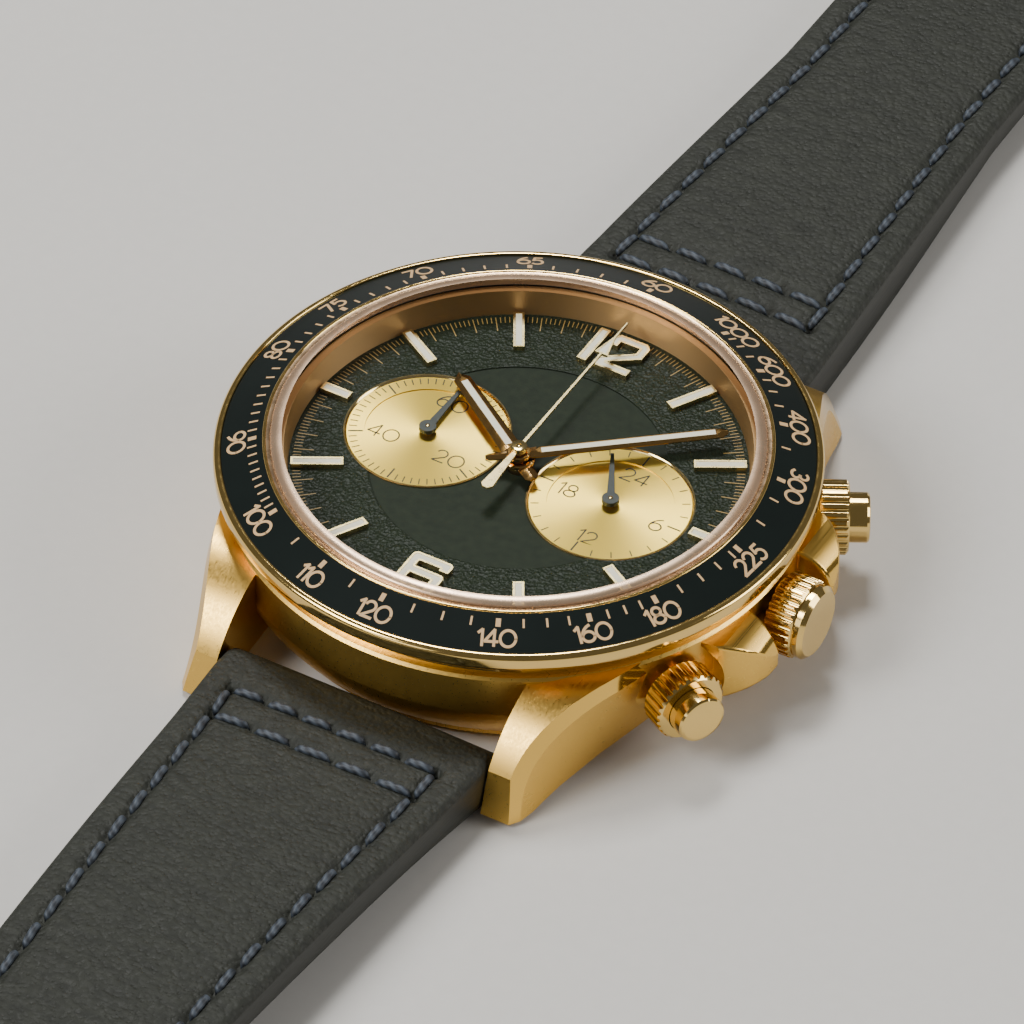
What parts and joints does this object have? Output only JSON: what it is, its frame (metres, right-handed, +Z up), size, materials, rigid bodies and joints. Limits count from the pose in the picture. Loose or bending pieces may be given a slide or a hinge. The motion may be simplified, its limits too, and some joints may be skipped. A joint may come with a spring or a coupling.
{
  "type": "chronograph wristwatch",
  "caption": "Round gold-coloured quartz chronograph wristwatch with black dial, gold registers, tachymeter bezel, crown guards, push buttons and open two-piece leather strap with pin buckle.",
  "frame": {"origin": "middle of the case back's flat face, on the table the watch lies on", "axes": "+X to 3 o'clock, along the crown's stem; +Y to 12 o'clock, along the strap; +Z up out of the dial"},
  "size_m": [0.0461, 0.2516, 0.0121],
  "materials": {
    "gold": "gold-plated steel, polished and brushed",
    "gasket": "matt",
    "insert_black": "polished black-green insert",
    "crystal": "clear mineral glass",
    "dial_black": "grained black-green",
    "register_gold": "circular and sunray brushed",
    "lume": "luminous compound",
    "movement_plastic": "moulded",
    "movement_metal": "rhodium plated",
    "steel": "bright",
    "board": "lacquered circuit board",
    "copper": "lacquered copper wire",
    "wheel_brass": "satin",
    "hand_bronze": "polished",
    "hand_black": "satin black-green",
    "leather": "dark green-grey, fine grain"
  },
  "bodies": {
    "watch_head": {"case_middle": "gold", "caseback": "gold", "caseback_gasket": "gasket", "bezel": "gold", "bezel_insert": "insert_black", "crystal": "crystal", "crystal_gasket": "gasket", "rehaut": "gold", "dial": "dial_black", "subdial_minutes": "register_gold", "subdial_24h": "register_gold", "hour_markers": "gold", "marker_lume": "lume", "movement_holder": "movement_plastic", "mainplate": "movement_metal", "train_bridge": "movement_metal", "bridge_screws": "steel", "circuit_board": "board", "battery": "steel", "stator": "movement_metal", "coil": "copper", "crown_tube": "steel", "button_collars": "gold", "start_spring": "steel", "reset_spring": "steel", "spring_bars": "steel"},
    "hour_hand_body": {"hour_wheel": "wheel_brass", "hour_hand": "hand_bronze", "hour_hand_lume": "lume"},
    "minute_hand_body": {"cannon_pinion": "wheel_brass", "minute_hand": "hand_bronze", "minute_hand_lume": "lume"},
    "sweep_hand_body": {"sweep_arbor": "steel", "sweep_hand": "hand_bronze", "sweep_hand_lume": "lume"},
    "day_hand_body": {"day_wheel": "wheel_brass", "day_hand": "hand_black"},
    "counter_hand_body": {"counter_wheel": "wheel_brass", "minute_counter_hand": "hand_black"},
    "motion_wheel": {"motion_wheel": "wheel_brass"},
    "idler_wheel": {"idler_wheel": "wheel_brass"},
    "third_wheel": {"third_wheel": "wheel_brass"},
    "rotor": {"rotor": "steel"},
    "step_wheel": {"step_wheel": "wheel_brass"},
    "setting_lever": {"setting_lever": "steel"},
    "crown": {"crown": "gold", "stem": "steel", "sliding_pinion": "steel"},
    "start_button": {"start_button": "gold"},
    "reset_button": {"reset_button": "gold"},
    "start_lever": {"start_lever": "steel"},
    "reset_lever": {"reset_lever": "steel"},
    "buckle_strap": {"strap_buckle_half": "leather", "fixed_keeper": "leather"},
    "tail_strap": {"strap_tail_half": "leather"},
    "buckle": {"buckle_frame": "gold", "buckle_bar": "steel"},
    "tongue": {"buckle_tongue": "gold"},
    "free_keeper": {"free_keeper": "leather"}
  },
  "joints": [
    {"name": "minute_hand_turn", "type": "hinge", "parent": "watch_head", "child": "minute_hand_body", "pos_m": [0, 0, 0.0101], "axis": [0, 0, -1], "continuous": true},
    {"name": "hour_hand_turn", "type": "hinge", "parent": "watch_head", "child": "hour_hand_body", "pos_m": [0, 0, 0.0096], "axis": [0, 0, -1], "continuous": true},
    {"name": "motion_wheel_turn", "type": "hinge", "parent": "watch_head", "child": "motion_wheel", "pos_m": [0, 0.0024, 0.0075], "axis": [0, 0, -1], "continuous": true},
    {"name": "idler_wheel_turn", "type": "hinge", "parent": "watch_head", "child": "idler_wheel", "pos_m": [0.00279, 0, 0.008], "axis": [0, 0, -1], "continuous": true},
    {"name": "day_hand_turn", "type": "hinge", "parent": "watch_head", "child": "day_hand_body", "pos_m": [0.0075, 0, 0.008], "axis": [0, 0, -1], "continuous": true},
    {"name": "third_wheel_turn", "type": "hinge", "parent": "watch_head", "child": "third_wheel", "pos_m": [0.00145, 0.0025, 0.0058], "axis": [0, 0, -1], "continuous": true},
    {"name": "rotor_turn", "type": "hinge", "parent": "watch_head", "child": "rotor", "pos_m": [0.00262, 0.00453, 0.005], "axis": [0, 0, -1], "continuous": true},
    {"name": "sweep_hand_turn", "type": "hinge", "parent": "watch_head", "child": "sweep_hand_body", "pos_m": [0, 0, 0.0106], "axis": [0, 0, -1], "continuous": true},
    {"name": "step_wheel_turn", "type": "hinge", "parent": "watch_head", "child": "step_wheel", "pos_m": [-0.00346, 0.00089, 0.0047], "axis": [0, 0, -1], "continuous": true},
    {"name": "counter_hand_turn", "type": "hinge", "parent": "watch_head", "child": "counter_hand_body", "pos_m": [-0.0075, 0, 0.0052], "axis": [0, 0, -1], "continuous": true},
    {"name": "crown_pull", "type": "slide", "parent": "watch_head", "child": "setting_lever", "axis": [1, 0, 0], "range_m": [0, 0.0012]},
    {"name": "crown_turn", "type": "hinge", "parent": "setting_lever", "child": "crown", "pos_m": [0.0228, 0, 0.0053], "axis": [1, 0, 0], "continuous": true},
    {"name": "start_button_press", "type": "slide", "parent": "watch_head", "child": "start_button", "axis": [-0.8738, -0.4863, 0], "range_m": [0, 0.0009], "stiffness_N_per_m": 1500, "springref_m": -0.0005, "deforming": ["start_spring"]},
    {"name": "start_lever_turn", "type": "hinge", "parent": "watch_head", "child": "start_lever", "pos_m": [0.00751, 0.00933, 0.0047], "axis": [0, 0, -1], "range_deg": [0, 11.5]},
    {"name": "reset_button_press", "type": "slide", "parent": "watch_head", "child": "reset_button", "axis": [-0.8738, 0.4863, 0], "range_m": [0, 0.0009], "stiffness_N_per_m": 1500, "springref_m": -0.0005, "deforming": ["reset_spring"]},
    {"name": "reset_lever_turn", "type": "hinge", "parent": "watch_head", "child": "reset_lever", "pos_m": [0.00751, -0.00933, 0.0047], "axis": [0, 0, 1], "range_deg": [0, 11.5]},
    {"name": "buckle_strap_hinge", "type": "hinge", "parent": "watch_head", "child": "buckle_strap", "pos_m": [0, 0.0227, 0.0022], "axis": [1, 0, 0], "range_deg": [-75, 35]},
    {"name": "tail_strap_hinge", "type": "hinge", "parent": "watch_head", "child": "tail_strap", "pos_m": [0, -0.0227, 0.0022], "axis": [-1, 0, 0], "range_deg": [-75, 35]},
    {"name": "buckle_hinge", "type": "hinge", "parent": "buckle_strap", "child": "buckle", "pos_m": [0, 0.0977, 0.0016], "axis": [1, 0, 0], "range_deg": [-40, 90]},
    {"name": "tongue_hinge", "type": "hinge", "parent": "buckle", "child": "tongue", "pos_m": [0, 0.0977, 0.0016], "axis": [1, 0, 0], "range_deg": [0, 110]},
    {"name": "free_keeper_slide", "type": "slide", "parent": "buckle_strap", "child": "free_keeper", "axis": [0, 1, 0], "range_m": [-0.014, 0.004]}
  ],
  "couplings": [
    {"joint": "hour_hand_turn", "follows": "minute_hand_turn", "ratio": 0.083333},
    {"joint": "motion_wheel_turn", "follows": "minute_hand_turn", "ratio": -0.33333},
    {"joint": "idler_wheel_turn", "follows": "minute_hand_turn", "ratio": -0.18519},
    {"joint": "day_hand_turn", "follows": "minute_hand_turn", "ratio": 0.041667},
    {"joint": "third_wheel_turn", "follows": "minute_hand_turn", "ratio": -7.5},
    {"joint": "rotor_turn", "follows": "minute_hand_turn", "ratio": 90},
    {"joint": "step_wheel_turn", "follows": "sweep_hand_turn", "ratio": -0.13333},
    {"joint": "counter_hand_turn", "follows": "sweep_hand_turn", "ratio": 0.016667},
    {"joint": "start_lever_turn", "follows": "start_button_press", "rad_per_m": 222.22},
    {"joint": "reset_lever_turn", "follows": "reset_button_press", "rad_per_m": 222.22}
  ]
}
